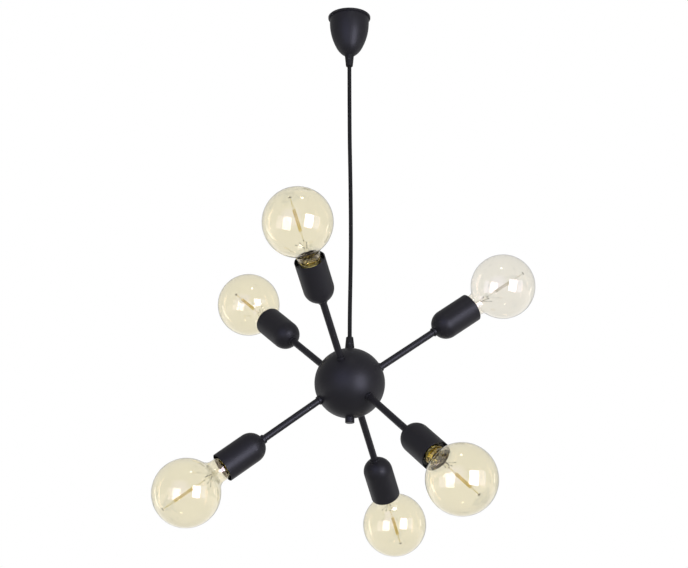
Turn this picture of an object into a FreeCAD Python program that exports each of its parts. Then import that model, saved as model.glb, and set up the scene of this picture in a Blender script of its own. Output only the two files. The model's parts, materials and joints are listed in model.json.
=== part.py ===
import FreeCAD, Part
import math
import os
from FreeCAD import Vector

# A hanging lamp, in millimetres: a small ceiling cup, one cord and a steel ball that holds six lamps.
# The origin is the middle of the ceiling bracket's top face, +Z is up and everything hangs below it.
# Along an arm, places are measured from the point where the arm's axis crosses the upright axis.

# Overall places
ball_drop = 575.7
ceiling_gap = 3.0
lamp_count = 6
first_arm_turn = 12.2
arm_rise = 36.85
axis_offset = 5.94
# Each arm's own turn and rise off the even pattern, in degrees, as the hand-fitted arms stand
arm_trims = ((0.4, -1.4), (0.4, 0.4), (1.2, 0.3), (-0.2, 0.1), (0.3, 0.0), (-2.1, 1.3))

# Fits and cuts
run_gap = 0.3
seat_gap = 0.05
cut_over = 2.0
arc_share = 0.45
full_turn = 360
half_turn = 180
quarter_turn = 90

# Ceiling bracket and its hook
strap_length = 50.0
strap_width = 14.0
strap_thickness = 2.0
strap_corner = 4.0
screw_spacing = 36.0
screw_hole_radius = 2.25
hook_wire_radius = 1.5
hook_bend = 5.5
hook_straight = 10.0
hook_tip_rise = 3.5

# Cord clamp, hung on the hook by its eye
eye_radius = 5.5
eye_rim = 2.6
eye_gap = 0.5
tab_thickness = 3.0
clamp_width = 18.0
clamp_depth = 7.0
clamp_height = 30.0
clamp_below_eye = 5.0
clamp_throat = 3.3
clamp_corner = 1.0
prong_width = 4.5
prong_thickness = 2.0
bar_depth = 5.0
bar_height = 12.0
bar_gap = 0.4
bar_drop = 2.0
clamp_screw_radius = 1.4
clamp_screw_hole_gap = 0.1
clamp_screw_spacing = 12.0
clamp_screw_bite = 5.0
screw_head_radius = 2.8
screw_head_height = 2.0
screw_head_edge = 0.5
slot_width = 0.7
slot_depth = 0.8

# Terminal block on the clamp's prongs
block_length = 24.0
block_depth = 12.0
block_height = 10.0
block_clear = 0.6
pole_pitch = 8.0
pole_entry_radius = 1.5
pole_entry_depth = 2.5
pole_screw_radius = 1.9
pole_screw_depth = 2.5
pole_screw_shares = (0.25, 0.75)
pole_groove = 1.2
pole_groove_depth = 1.8

# Leads
lead_count = 3
lead_radius = 0.8
lead_spread = 1.7
lead_forward = 0.9
lead_rise = 6.5
lead_side_step = 2.8

# Ceiling cup, a spun shell with a rolled flange
cup_flange_width = 2.4
cup_flange_height = 3.6
cup_flange_corner = 0.8
cup_radius = 29.6
cup_straight = 6.0
cup_side_round = 88.5
cup_side_turn = 27.8
cup_nose_round = 36.0
cup_nose_turn = 31.0
cup_wall = 1.0

# Cord grips on the cup and on the ball
grip_base_radius = 6.9
grip_tip_radius = 5.2
grip_length = 17.5
grip_edge = 0.6
grip_stem_radius = 4.9
grip_stem_length = 6.0
grip_socket_depth = 4.0
grip_screw_place = 6.8
grip_screw_radius = 1.4
grip_screw_hole_gap = 0.05
grip_screw_proud = 0.3

# Nuts
nut_sides = 6
nut_flats = 14.0
nut_thickness = 3.6

# Cord
cord_radius = 3.0
cord_in_ball = 36.0

# Ball, two shells that meet at the middle
ball_radius = 50.0
ball_wall = 1.2
lip_height = 3.0
lip_wall = 1.0
pole_hole_gap = 0.3

# Tube through the ball, its cap nut and the round terminal
tube_radius = 4.9
tube_bore = 3.6
cap_nut_radius = 6.6
cap_nut_proud = 7.5
cap_nut_floor = 2.5
cap_nut_edge = 0.7
ring_radius = 17.0
ring_height = 20.0
ring_edge = 1.2
port_depth = 3.0
port_gap = 0.1
window_gap = 0.35
ball_lead_ring = 1.5

# Arms
arm_radius = 5.0
arm_bore = 4.0
arm_inside_ball = 6.0
arm_into_lamp = 12.0
arm_hole_gap = 0.2
wire_spread = 1.5
collar_radius = 6.5
collar_height = 3.3
lamp_collar_radius = 6.6
lamp_collar_height = 3.0
collar_edge = 0.4

# Lamp cup, a tube with a round back
lamp_back = 154.0
lamp_length = 69.3
lamp_radius = 21.4
lamp_wall = 1.0
lamp_lip = 0.35
lamp_nut_thickness = 4.0

# Lampholder inside each cup
holder_gap = 1.6
holder_neck_radius = 8.0
holder_neck_length = 4.0
holder_shoulder = 13.0
holder_shoulder_bulge = 2.6
holder_cap_proud = 3.5
holder_edge = 0.6
holder_floor = 3.0
contact_radius = 3.0
contact_thickness = 1.2
contact_gap = 0.3
socket_wall = 0.4
socket_lip = 3.0
thread_gap = 0.35

# Bulb: round glass on a screw cap
bulb_radius = 47.5
bulb_seat = 39.5
bulb_wall = 0.8
bulb_neck_radius = 16.4
bulb_neck_length = 5.84
bulb_neck_fillet = 14.0
bulb_tube_depth = 7.5
cap_radius = 13.1
cap_length = 27.0
cap_wall = 0.45
cap_bead = 0.5
cap_bead_height = 2.2
cap_floor = 9.5
cap_contact_radius = 4.6
cap_contact_height = 1.8
cap_cone_height = 4.6
cap_cone_radius = 11.2
cap_start = 7.2
cap_gap = 0.4

# Stem and filament inside the glass
stem_flare_height = 1.4
stem_bend_shares = (0.25, 0.33)
stem_waist = 11.0
stem_radius = 3.2
stem_length = 41.0
stem_tip_radius = 1.8
stem_taper = 6.0
rod_radius = 0.7
filament_behind = 22.0
filament_length = 44.0
filament_ring = 1.6
strand_radius = 0.35
strand_count = 3
spider_radius = 2.1
spider_thickness = 0.8
anchor_height = 14.0
anchor_reach = 2.4
anchor_radius = 0.4

# Worked-out places on the upright axis
ball_z = -ball_drop
rim_z = -ceiling_gap
cup_flange_radius = cup_radius + cup_flange_width
saddle_z = -(strap_thickness + hook_straight + hook_bend)
eye_z = saddle_z + hook_wire_radius + eye_gap - eye_radius
clamp_top = eye_z - clamp_below_eye
clamp_bottom = clamp_top - clamp_height
eye_bottom = eye_z - eye_radius - eye_rim
cord_top = eye_bottom - lead_rise - clamp_throat - lead_radius
prong_top = cord_top + prong_thickness
bar_top = cord_top - bar_drop
bar_bottom = bar_top - bar_height
block_front = cord_radius + clamp_throat + block_clear
pole_z = prong_top + block_height / 2
grip_bore = cord_radius + run_gap
channel_radius = cord_radius + clamp_screw_hole_gap

# Worked-out places along an arm
arm_inner_end = ball_radius - arm_inside_ball
lamp_dome = lamp_back + lamp_radius
lamp_mouth = lamp_back + lamp_length
bulb_foot = lamp_back + bulb_seat
cap_top = bulb_foot + cap_length
bulb_tube = cap_radius - cap_wall - seat_gap
bulb_shoulder = bulb_neck_radius - bulb_tube
bulb_neck_foot = cap_top + cap_gap + bulb_shoulder
fillet_reach = bulb_neck_radius + bulb_neck_fillet
fillet_back = math.sqrt((bulb_radius + bulb_neck_fillet) ** 2 - fillet_reach ** 2)
fillet_middle = bulb_neck_foot + bulb_neck_length
bulb_middle = fillet_middle + fillet_back
filament_start = bulb_middle - filament_behind
holder_radius = lamp_radius - lamp_wall - holder_gap
holder_front = cap_top - holder_cap_proud
holder_back = lamp_back + lamp_wall + lamp_nut_thickness
socket_floor = bulb_foot - contact_gap - contact_thickness
socket_inside = cap_radius + thread_gap
socket_bore = socket_inside + socket_wall + seat_gap
wire_start = (ring_radius - port_depth) / math.cos(math.radians(arm_rise))
wire_end = socket_floor - holder_floor - port_depth

# The cord's route from the clamp to the inside of the ball: a long straight run that the ceiling cup
# slides along, then the slight bow that the hanging cord keeps
cord_route = (
    (0.0, 0.0, cord_top),
    (0.0, 0.0, -185.0),
    (1.1, 0.3, -250.0),
    (1.8, 0.4, -312.0),
    (1.9, 0.1, -370.0),
    (1.2, -0.3, -425.0),
    (0.0, 0.0, -480.0),
    (0.0, 0.0, ball_z + cord_in_ball),
)


def spot(pair):
    """Point of the XZ plane at a radius and a height."""
    return Vector(pair[0], 0, pair[1])


def upright(solid):
    """The same solid with its faces pointing outwards."""
    if solid.Volume < 0:
        solid.reverse()
    return solid


def turned(outline):
    """Solid turned about Z. A pair is a corner, two pairs are an arc through the first to the second."""
    start = spot(outline[0])
    edges = []
    for step in list(outline[1:]) + [outline[0]]:
        if isinstance(step[0], tuple):
            end = spot(step[1])
            edges.append(Part.Arc(start, spot(step[0]), end).toShape())
        else:
            end = spot(step)
            if end.distanceToPoint(start) > 0:
                edges.append(Part.LineSegment(start, end).toShape())
        start = end
    face = Part.Face(Part.Wire(edges))
    return upright(face.revolve(Vector(0, 0, 0), Vector(0, 0, 1), full_turn))


def bulge(centre, start, end):
    """Middle of the arc from start to end about centre, each a radius and a height."""
    one = spot(start) - spot(centre)
    two = spot(end) - spot(centre)
    middle = (one + two).normalize() * one.Length
    return (centre[0] + middle.x, centre[1] + middle.z)


def rod(radius, low, high, x=0, y=0):
    """Round bar along Z."""
    return Part.makeCylinder(radius, high - low, Vector(x, y, low))


def pipe_bar(radius, start, direction, length):
    """Round bar in any direction."""
    return Part.makeCylinder(radius, length, start, direction)


def block(low, high):
    """Box between two corners."""
    size = high - low
    return Part.makeBox(size.x, size.y, size.z, low)


def hexagon(flats, low, high, bore):
    """Six-sided nut along Z with a plain bore."""
    corner = flats / 2 / math.cos(math.pi / nut_sides)
    points = []
    for side in range(nut_sides + 1):
        angle = math.radians(full_turn / nut_sides * side)
        points.append(Vector(corner * math.cos(angle), corner * math.sin(angle), low))
    prism = Part.Face(Part.makePolygon(points)).extrude(Vector(0, 0, high - low))
    return upright(prism).cut(rod(bore, low - cut_over, high + cut_over))


def rounded_route(points):
    """Straight runs joined by tangent arcs, with the arcs' radii."""
    here = points[0]
    edges = []
    radii = []
    for before, corner, after in zip(points, points[1:], points[2:]):
        back = before - corner
        ahead = after - corner
        reach = arc_share * min(back.Length, ahead.Length)
        turn = math.pi - back.getAngle(ahead)
        radius = reach / math.tan(turn / 2)
        back.normalize()
        ahead.normalize()
        inward = (back + ahead).normalize()
        middle = corner + inward * (math.hypot(radius, reach) - radius)
        edges.append(Part.LineSegment(here, corner + back * reach).toShape())
        edges.append(Part.Arc(corner + back * reach, middle, corner + ahead * reach).toShape())
        here = corner + ahead * reach
        radii.append(radius)
    edges.append(Part.LineSegment(here, points[-1]).toShape())
    return Part.Wire(edges), radii


def tube_along(points, radius):
    """Round tube along a route, with its path and its arcs' radii."""
    path, radii = rounded_route(points)
    ring = Part.Wire([Part.Circle(points[0], points[1] - points[0], radius).toShape()])
    return upright(path.makePipeShell([ring], True, False)), path, radii


def arm_placement(number):
    """Where an arm's own Z axis lies: out from the upright axis, odd arms up and even arms down."""
    side = 1 - 2 * (number % 2)
    turn, rise = arm_trims[number]
    heading = first_arm_turn + full_turn / lamp_count * number + turn
    lean = quarter_turn - side * (arm_rise + rise)
    around = FreeCAD.Rotation(Vector(0, 0, 1), heading)
    over = FreeCAD.Rotation(Vector(0, 1, 0), lean)
    return FreeCAD.Placement(Vector(0, 0, ball_z - side * axis_offset), around.multiply(over))


def on_arm(shape, number):
    """A copy of a piece that was made along Z, laid along an arm."""
    laid = shape.copy()
    laid.Placement = arm_placement(number)
    return laid


def in_ball(shape):
    """The same piece, moved so that its origin is the ball's middle."""
    shape.translate(Vector(0, 0, ball_z))
    return shape


def ball_space(radius):
    """Solid sphere about the ball's middle."""
    return Part.makeSphere(radius, Vector(0, 0, ball_z))


def save(node, shapes):
    """Write one node, a single solid or a group of them."""
    whole = shapes[0] if len(shapes) == 1 else Part.makeCompound(shapes)
    for solid in whole.Solids:
        if not solid.isValid():
            print(node, "is not valid")
    whole.exportStep("parts/" + node + ".step")


# Ceiling bracket

def ceiling_bracket():
    half = Vector(strap_length / 2, strap_width / 2, 0)
    strap = block(Vector(-half.x, -half.y, -strap_thickness), Vector(half.x, half.y, 0))
    corners = [edge for edge in strap.Edges if abs(edge.Vertexes[0].X - edge.Vertexes[1].X) == 0
               and abs(edge.Vertexes[0].Y - edge.Vertexes[1].Y) == 0]
    strap = strap.makeFillet(strap_corner, corners)
    for side in (-1, 1):
        strap = strap.cut(rod(screw_hole_radius, -strap_thickness - cut_over, cut_over,
                              x=side * screw_spacing / 2))
    bend_z = saddle_z + hook_bend
    shank_top = Vector(0, hook_bend, -strap_thickness / 2)
    shank_foot = Vector(0, hook_bend, bend_z)
    tip_foot = Vector(0, -hook_bend, bend_z)
    tip = Vector(0, -hook_bend, bend_z + hook_tip_rise)
    path = Part.Wire([
        Part.LineSegment(shank_top, shank_foot).toShape(),
        Part.Arc(shank_foot, Vector(0, 0, saddle_z), tip_foot).toShape(),
        Part.LineSegment(tip_foot, tip).toShape(),
    ])
    ring = Part.Wire([Part.Circle(shank_top, Vector(0, 0, 1), hook_wire_radius).toShape()])
    hook = upright(path.makePipeShell([ring], True, False))
    return strap.fuse([hook, Part.makeSphere(hook_wire_radius, tip)]).removeSplitter()


# Cord clamp, its bar and its screws

def clamp_screw_holes():
    radius = clamp_screw_radius + clamp_screw_hole_gap
    middle = (bar_top + bar_bottom) / 2
    start = -clamp_screw_bite - clamp_screw_hole_gap
    length = clamp_screw_bite + bar_gap + bar_depth + cut_over
    ends = [Vector(side * clamp_screw_spacing / 2, start, middle) for side in (-1, 1)]
    return [pipe_bar(radius, end, Vector(0, 1, 0), length) for end in ends]


def cord_clamp():
    outer = eye_radius + eye_rim
    half = tab_thickness / 2
    tab = pipe_bar(outer, Vector(0, -half, eye_z), Vector(0, 1, 0), tab_thickness)
    web = block(Vector(-outer, -half, eye_bottom), Vector(outer, half, eye_z))
    side = clamp_width / 2
    body = block(Vector(-side, -clamp_depth, clamp_bottom), Vector(side, 0, clamp_top))
    back = [edge for edge in body.Edges if edge.CenterOfMass.y < -clamp_depth / 2]
    body = body.makeFillet(clamp_corner, back)
    whole = body.fuse([tab, web])
    reach = block_front + block_depth
    for side in (-1, 1):
        inner = side * (clamp_width / 2 - prong_width)
        outer_side = side * clamp_width / 2
        low = Vector(min(inner, outer_side), -clamp_corner, prong_top - prong_thickness)
        high = Vector(max(inner, outer_side), reach, prong_top)
        whole = whole.fuse(block(low, high))
    eye = pipe_bar(eye_radius, Vector(0, -tab_thickness, eye_z), Vector(0, 1, 0), 2 * tab_thickness)
    whole = whole.cut(eye)
    whole = whole.cut(rod(channel_radius, clamp_bottom - cut_over, eye_bottom - clamp_throat))
    return whole.cut(clamp_screw_holes()).removeSplitter()


def clamp_bar():
    half = clamp_width / 2
    bar = block(Vector(-half, bar_gap, bar_bottom), Vector(half, bar_gap + bar_depth, bar_top))
    front = [edge for edge in bar.Edges if edge.CenterOfMass.y > bar_gap + bar_depth / 2]
    bar = bar.makeFillet(clamp_corner, front)
    bar = bar.cut(rod(channel_radius, bar_bottom - cut_over, bar_top + cut_over))
    return bar.cut(clamp_screw_holes())


def slotted_screw(shank, bite):
    """Screw along Z with its head above zero and a slot across the head."""
    screw = turned([(0, -bite), (shank, -bite), (shank, 0), (screw_head_radius, 0),
                    (screw_head_radius, screw_head_height - screw_head_edge),
                    (screw_head_radius - screw_head_edge, screw_head_height), (0, screw_head_height)])
    half = Vector(screw_head_radius + cut_over, slot_width / 2, 0)
    return screw.cut(block(Vector(-half.x, -half.y, screw_head_height - slot_depth),
                           Vector(half.x, half.y, screw_head_height + cut_over)))


def clamp_screws():
    screws = []
    for side in (-1, 1):
        screw = slotted_screw(clamp_screw_radius, clamp_screw_bite + bar_gap + bar_depth)
        screw.Placement = FreeCAD.Placement(
            Vector(side * clamp_screw_spacing / 2, bar_gap + bar_depth, (bar_top + bar_bottom) / 2),
            FreeCAD.Rotation(Vector(1, 0, 0), -quarter_turn))
        screws.append(screw)
    return screws


# Terminal block and the three leads that rise into it

def terminal_block():
    low = Vector(-block_length / 2, block_front, prong_top)
    high = Vector(block_length / 2, block_front + block_depth, prong_top + block_height)
    body = block(low, high)
    cuts = []
    for pole in (-1, 0, 1):
        x = pole * pole_pitch
        for face, inward in ((low.y, 1), (high.y, -1)):
            start = Vector(x, face - inward * cut_over, pole_z)
            depth = pole_entry_depth + cut_over
            cuts.append(pipe_bar(pole_entry_radius, start, Vector(0, inward, 0), depth))
        for share in pole_screw_shares:
            y = low.y + share * block_depth
            cuts.append(rod(pole_screw_radius, high.z - pole_screw_depth, high.z + cut_over, x=x, y=y))
    for side in (-1, 1):
        x = side * pole_pitch / 2
        cuts.append(block(Vector(x - pole_groove / 2, low.y - cut_over, high.z - pole_groove_depth),
                          Vector(x + pole_groove / 2, high.y + cut_over, high.z + cut_over)))
    return body.cut(cuts)


def core_leads():
    leads = []
    for pole in (-1, 0, 1):
        x = pole * lead_spread
        end = Vector(pole * pole_pitch, block_front + pole_entry_depth, pole_z)
        route = [Vector(x, lead_forward, cord_top), Vector(x, lead_forward, pole_z)]
        if pole:
            route.append(Vector(end.x, lead_side_step, pole_z))
        route.append(end)
        leads.append(tube_along(route, lead_radius)[0])
    return leads


# Ceiling cup and its cord grip

def cup_outline(inset):
    """Side of the cup from the top of the straight wall to the nose, moved inwards by inset."""
    side_top = rim_z - cup_flange_height - cup_straight
    side_centre = (cup_radius - cup_side_round, side_top)
    side = cup_side_round - inset
    first = math.radians(cup_side_turn)
    last = math.radians(cup_side_turn + cup_nose_turn)
    knee = (side_centre[0] + cup_side_round * math.cos(first), side_top - cup_side_round * math.sin(first))
    nose_centre = (knee[0] - cup_nose_round * math.cos(first), knee[1] + cup_nose_round * math.sin(first))
    nose = cup_nose_round - inset
    start = (side_centre[0] + side, side_top)
    turn = (side_centre[0] + side * math.cos(first), side_top - side * math.sin(first))
    end = (nose_centre[0] + nose * math.cos(last), nose_centre[1] - nose * math.sin(last))
    return [start, (bulge(side_centre, start, turn), turn), (bulge(nose_centre, turn, end), end)]


nose_z = cup_outline(0)[-1][1][1]
nose_inside = cup_outline(cup_wall)[-1][1][1]


def cup_space(inset, top):
    """Solid cup shape below the flange, up to the given height."""
    side = cup_outline(inset)
    return turned([(0, top), (side[0][0], top)] + side + [(0, side[-1][1][1])])


def ceiling_cup():
    low = rim_z - cup_flange_height
    flange = turned([
        (0, rim_z), (cup_flange_radius - cup_flange_corner, rim_z),
        (cup_flange_radius, rim_z - cup_flange_corner), (cup_flange_radius, low + cup_flange_corner),
        (cup_flange_radius - cup_flange_corner, low), (0, low)])
    shell = cup_space(0, low).fuse(flange)
    shell = shell.cut(rod(cup_flange_radius - cup_wall, low + cup_wall, rim_z + cut_over))
    shell = shell.cut(cup_space(cup_wall, rim_z))
    return shell.cut(rod(grip_stem_radius + seat_gap, nose_z - cut_over, rim_z)).removeSplitter()


def grip_cone():
    """Tapered cord grip on zero, its tip upwards, with the hole of its set screw."""
    cone = turned([(0, -cut_over), (grip_base_radius, -cut_over), (grip_base_radius, 0),
                   (grip_tip_radius, grip_length - grip_edge),
                   (grip_tip_radius - grip_edge, grip_length), (0, grip_length)])
    cone = cone.cut(rod(grip_bore, -grip_length, grip_length + cut_over))
    hole = pipe_bar(grip_screw_radius + grip_screw_hole_gap, Vector(0, 0, grip_screw_place),
                    Vector(0, -1, 0), grip_base_radius + cut_over)
    return cone.cut(hole)


def grip_screw():
    """Set screw of a cord grip, its slotted end towards -Y."""
    reach = grip_base_radius - (grip_base_radius - grip_tip_radius) * grip_screw_place / grip_length
    tip = cord_radius + run_gap
    length = reach - grip_screw_proud - tip
    screw = pipe_bar(grip_screw_radius, Vector(0, -tip, grip_screw_place), Vector(0, -1, 0), length)
    half = slot_width / 2
    low = Vector(-half, -tip - length - cut_over, grip_screw_place - grip_screw_radius)
    high = Vector(half, -tip - length + slot_depth, grip_screw_place + grip_screw_radius)
    return screw.cut(block(low, high))


def hung_from_cup(shape):
    """A grip's piece turned tip down and seated on the cup's nose."""
    shape.Placement = FreeCAD.Placement(Vector(0, 0, nose_z), FreeCAD.Rotation(Vector(0, 1, 0), half_turn))
    return shape


def cup_grip():
    cone = hung_from_cup(grip_cone()).cut(cup_space(0, rim_z))
    stem = rod(grip_stem_radius, nose_z, nose_z + grip_stem_length)
    stem = stem.cut(rod(grip_bore, nose_z - cut_over, nose_z + grip_stem_length + cut_over))
    return cone.fuse(stem).removeSplitter()


def cup_grip_nut():
    nut = hexagon(nut_flats, nose_z, nose_inside + nut_thickness, grip_stem_radius + seat_gap)
    return nut.common(cup_space(cup_wall, rim_z))


# Cord

def cord():
    solid, path, radii = tube_along([Vector(*point) for point in cord_route], cord_radius)
    print("cord length", round(path.Length, 1), "arc radii", [round(radius) for radius in radii])
    print("cord volume over section times length",
          round(solid.Volume / (math.pi * cord_radius ** 2 * path.Length), 5))
    return solid


# Ball: shells, tube, nuts and terminal

def arm_holes():
    """Bars that open the ball's wall for the arms."""
    hole = rod(arm_radius + arm_hole_gap, arm_inner_end, ball_radius + ball_wall + cut_over * 2)
    return [on_arm(hole, number) for number in range(lamp_count)]


def pole_hole():
    reach = ball_radius + cut_over
    return rod(tube_radius + pole_hole_gap, ball_z - reach, ball_z + reach)


def ball_upper_shell():
    inside = ball_radius - ball_wall
    shell = ball_space(ball_radius).cut(ball_space(inside))
    shell = shell.cut(block(Vector(-ball_radius, -ball_radius, ball_z - ball_radius - cut_over),
                            Vector(ball_radius, ball_radius, ball_z)))
    return shell.cut(arm_holes() + [pole_hole()])


def ball_lower_shell():
    """Half shell whose lip stands up inside the upper one."""
    inside = ball_radius - ball_wall
    lip = inside - run_gap
    band = lip - lip_wall
    foot = (band, -math.sqrt(inside ** 2 - band ** 2))
    shell = turned([
        (0, -ball_radius), (bulge((0, 0), (0, -ball_radius), (ball_radius, 0)), (ball_radius, 0)),
        (lip, 0), (lip, lip_height), (band, lip_height), foot,
        (bulge((0, 0), foot, (0, -inside)), (0, -inside))])
    return in_ball(shell).cut(arm_holes() + [pole_hole()])


def ball_grip():
    cone = grip_cone()
    cone.translate(Vector(0, 0, ball_radius))
    cone = cone.cut(Part.makeSphere(ball_radius))
    socket = rod(tube_radius + seat_gap, 0, ball_radius + grip_socket_depth)
    return in_ball(cone.cut(socket))


def ball_grip_screw():
    screw = grip_screw()
    screw.translate(Vector(0, 0, ball_radius))
    return in_ball(screw)


def centre_tube():
    top = ball_radius + grip_socket_depth - seat_gap
    foot = -ball_radius - cap_nut_proud + cap_nut_floor + seat_gap
    tube = rod(tube_radius, foot, top).cut(rod(tube_bore, foot - cut_over, top + cut_over))
    for lead in range(lead_count):
        angle = math.radians(full_turn / lead_count * lead + quarter_turn)
        outward = Vector(math.cos(angle), math.sin(angle), 0)
        window = pipe_bar(lead_radius + window_gap, Vector(0, 0, 0), outward, tube_radius + cut_over)
        tube = tube.cut(window)
    return in_ball(tube)


def tube_nuts():
    inside = ball_space(ball_radius - ball_wall)
    bore = tube_radius + seat_gap
    seat = ball_radius - ball_wall - nut_thickness
    top = in_ball(hexagon(nut_flats, seat, ball_radius, bore)).common(inside)
    foot = in_ball(hexagon(nut_flats, -ball_radius, -seat, bore)).common(inside)
    under_ring = in_ball(hexagon(nut_flats, -ring_height / 2 - nut_thickness, -ring_height / 2, bore))
    return [top, foot, under_ring]


def bottom_cap_nut():
    low = -ball_radius - cap_nut_proud
    nut = turned([(0, low), (cap_nut_radius - cap_nut_edge, low), (cap_nut_radius, low + cap_nut_edge),
                  (cap_nut_radius, -ball_radius / 2), (0, -ball_radius / 2)])
    nut = nut.cut(rod(tube_radius + seat_gap, low + cap_nut_floor, 0))
    return in_ball(nut.cut(Part.makeSphere(ball_radius)))


def wire_lines(low, high, radius):
    """Two bars along Z, side by side, where an arm's two wires lie."""
    return [rod(radius, low, high, y=side * wire_spread) for side in (-1, 1)]


def terminal_ring():
    half = ring_height / 2
    bore = tube_radius + run_gap
    ring = turned([(bore, -half), (ring_radius - ring_edge, -half), (ring_radius, ring_edge - half),
                   (ring_radius, half - ring_edge), (ring_radius - ring_edge, half), (bore, half)])
    ring = in_ball(ring)
    for number in range(lamp_count):
        ports = wire_lines(wire_start, ring_radius * 2, lead_radius + port_gap)
        ring = ring.cut([on_arm(port, number) for port in ports])
    return ring


def ball_leads():
    leads = []
    for lead in range(lead_count):
        angle = math.radians(full_turn / lead_count * lead + quarter_turn)
        outward = Vector(math.cos(angle), math.sin(angle), 0)
        top = outward * ball_lead_ring + Vector(0, 0, cord_in_ball - run_gap)
        elbow = outward * ball_lead_ring
        end = outward * (tube_radius + run_gap / 2)
        leads.append(in_ball(tube_along([top, elbow, end], lead_radius)[0]))
    return leads


# Arms with their collars, nuts and wires

def arm_tube():
    end = lamp_back + arm_into_lamp
    tube = rod(arm_radius, arm_inner_end, end)
    return tube.cut(rod(arm_bore, arm_inner_end - cut_over, end + cut_over))


def collar(radius, low, high):
    """Ring round an arm with an eased edge at both ends."""
    ring = turned([(0, low), (radius - collar_edge, low), (radius, low + collar_edge),
                   (radius, high - collar_edge), (radius - collar_edge, high), (0, high)])
    return ring.cut(rod(arm_radius + seat_gap, low - cut_over, high + cut_over))


def ball_face(number):
    """Where an arm's axis leaves the ball."""
    across = axis_offset * math.cos(math.radians(arm_rise + arm_trims[number][1]))
    behind = axis_offset * math.sin(math.radians(arm_rise + arm_trims[number][1]))
    return behind + math.sqrt(ball_radius ** 2 - across ** 2)


def arm_collars():
    """Collars where each arm leaves the ball and meets its lamp cup, shaped to their seats."""
    dome = Part.makeSphere(lamp_radius, Vector(0, 0, lamp_dome))
    at_lamp = collar(lamp_collar_radius, lamp_back - lamp_collar_height, lamp_back + cut_over).cut(dome)
    collars = []
    for number in range(lamp_count):
        face = ball_face(number)
        at_ball = on_arm(collar(collar_radius, face - cut_over, face + collar_height), number)
        collars.append(at_ball.cut(ball_space(ball_radius)))
        collars.append(on_arm(at_lamp, number))
    return collars


def arm_nuts():
    """Nuts inside the ball and the lamp cups on each arm, shaped to the walls that they pull on."""
    bore = arm_radius + seat_gap
    hollow = Part.makeSphere(lamp_radius - lamp_wall, Vector(0, 0, lamp_dome))
    in_lamp = hexagon(nut_flats, lamp_back, holder_back, bore).common(hollow)
    nuts = []
    for number in range(lamp_count):
        face = ball_face(number)
        nut = on_arm(hexagon(nut_flats, face - ball_wall - nut_thickness, face, bore), number)
        nuts.append(nut.common(ball_space(ball_radius - ball_wall)))
        nuts.append(on_arm(in_lamp, number))
    return nuts


def arm_wires():
    return [on_arm(wire, number) for number in range(lamp_count)
            for wire in wire_lines(wire_start, wire_end, lead_radius)]


# Lamp cup, lampholder and its contacts

def lamp_cup():
    inside = lamp_radius - lamp_wall
    side = math.cos(math.pi / 4)
    lip = lamp_mouth - lamp_lip
    cup = turned([
        (0, lamp_back), ((lamp_radius * side, lamp_dome - lamp_radius * side), (lamp_radius, lamp_dome)),
        (lamp_radius, lip), (lamp_radius - lamp_lip, lamp_mouth),
        (inside + lamp_lip, lamp_mouth), (inside, lip), (inside, lamp_dome),
        ((inside * side, lamp_dome - inside * side), (0, lamp_dome - inside))])
    return cup.cut(rod(arm_radius + arm_hole_gap, lamp_back - cut_over, lamp_dome))


def lampholder():
    neck_top = holder_back + holder_neck_length
    shoulder_top = neck_top + holder_shoulder
    tube_end = lamp_back + arm_into_lamp + seat_gap
    chord = Vector(holder_radius - holder_neck_radius, 0, holder_shoulder)
    out = Vector(chord.z, 0, -chord.x).normalize() * holder_shoulder_bulge
    middle = (holder_neck_radius + chord.x / 2 + out.x, neck_top + chord.z / 2 + out.z)
    return turned([
        (arm_radius + seat_gap, holder_back), (holder_neck_radius, holder_back),
        (holder_neck_radius, neck_top), (middle, (holder_radius, shoulder_top)),
        (holder_radius, holder_front - holder_edge), (holder_radius - holder_edge, holder_front),
        (socket_bore, holder_front), (socket_bore, socket_floor), (0, socket_floor),
        (0, wire_end), (arm_bore, wire_end), (arm_bore, tube_end), (arm_radius + seat_gap, tube_end)])


def socket_contacts():
    """A thin screw shell and a middle contact in each lampholder."""
    shell_top = holder_front - socket_lip
    shell = rod(socket_inside + socket_wall, socket_floor, shell_top)
    shell = shell.cut(rod(socket_inside, socket_floor - cut_over, shell_top + cut_over))
    contact = rod(contact_radius, socket_floor, socket_floor + contact_thickness)
    return [on_arm(piece, number) for number in range(lamp_count) for piece in (shell, contact)]


# Bulb

def bulb_space(inset):
    """Solid of the bulb's glass outline, moved inwards by inset."""
    low = cap_top - bulb_tube_depth - (cut_over if inset else 0)
    ball = bulb_radius - inset
    fillet_centre = (fillet_reach, fillet_middle)
    neck_top = (bulb_neck_radius - inset, fillet_middle)
    share = ball / (bulb_radius + bulb_neck_fillet)
    joint = (fillet_reach * share, bulb_middle - fillet_back * share)
    centre = (0, bulb_middle)
    tip = (0, bulb_middle + ball)
    foot = (bulb_tube, cap_top + cap_gap + inset)
    side = (bulb_neck_radius - inset, bulb_neck_foot)
    return turned([
        (0, low), (bulb_tube - inset, low), (bulb_tube - inset, foot[1]), foot,
        (bulge((bulb_tube, bulb_neck_foot), foot, side), side), neck_top,
        (bulge(fillet_centre, neck_top, joint), joint), (bulge(centre, joint, tip), tip)])


def bulb_glass():
    return bulb_space(0).cut(bulb_space(bulb_wall))


def bulb_cap():
    bead = cap_radius + cap_bead
    inside = cap_radius - cap_wall
    cone = bulb_foot + cap_contact_height
    bead_foot = cap_top - cap_bead_height
    return turned([
        (0, bulb_foot), (cap_contact_radius - collar_edge, bulb_foot),
        (cap_contact_radius, bulb_foot + collar_edge), (cap_contact_radius, cone),
        (cap_cone_radius, cone + cap_cone_height - collar_edge), (cap_radius, bulb_foot + cap_start),
        (cap_radius, bead_foot - cap_bead), (bead, bead_foot), (bead, cap_top), (inside, cap_top),
        (inside, bulb_foot + cap_floor), (0, bulb_foot + cap_floor)])


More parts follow.
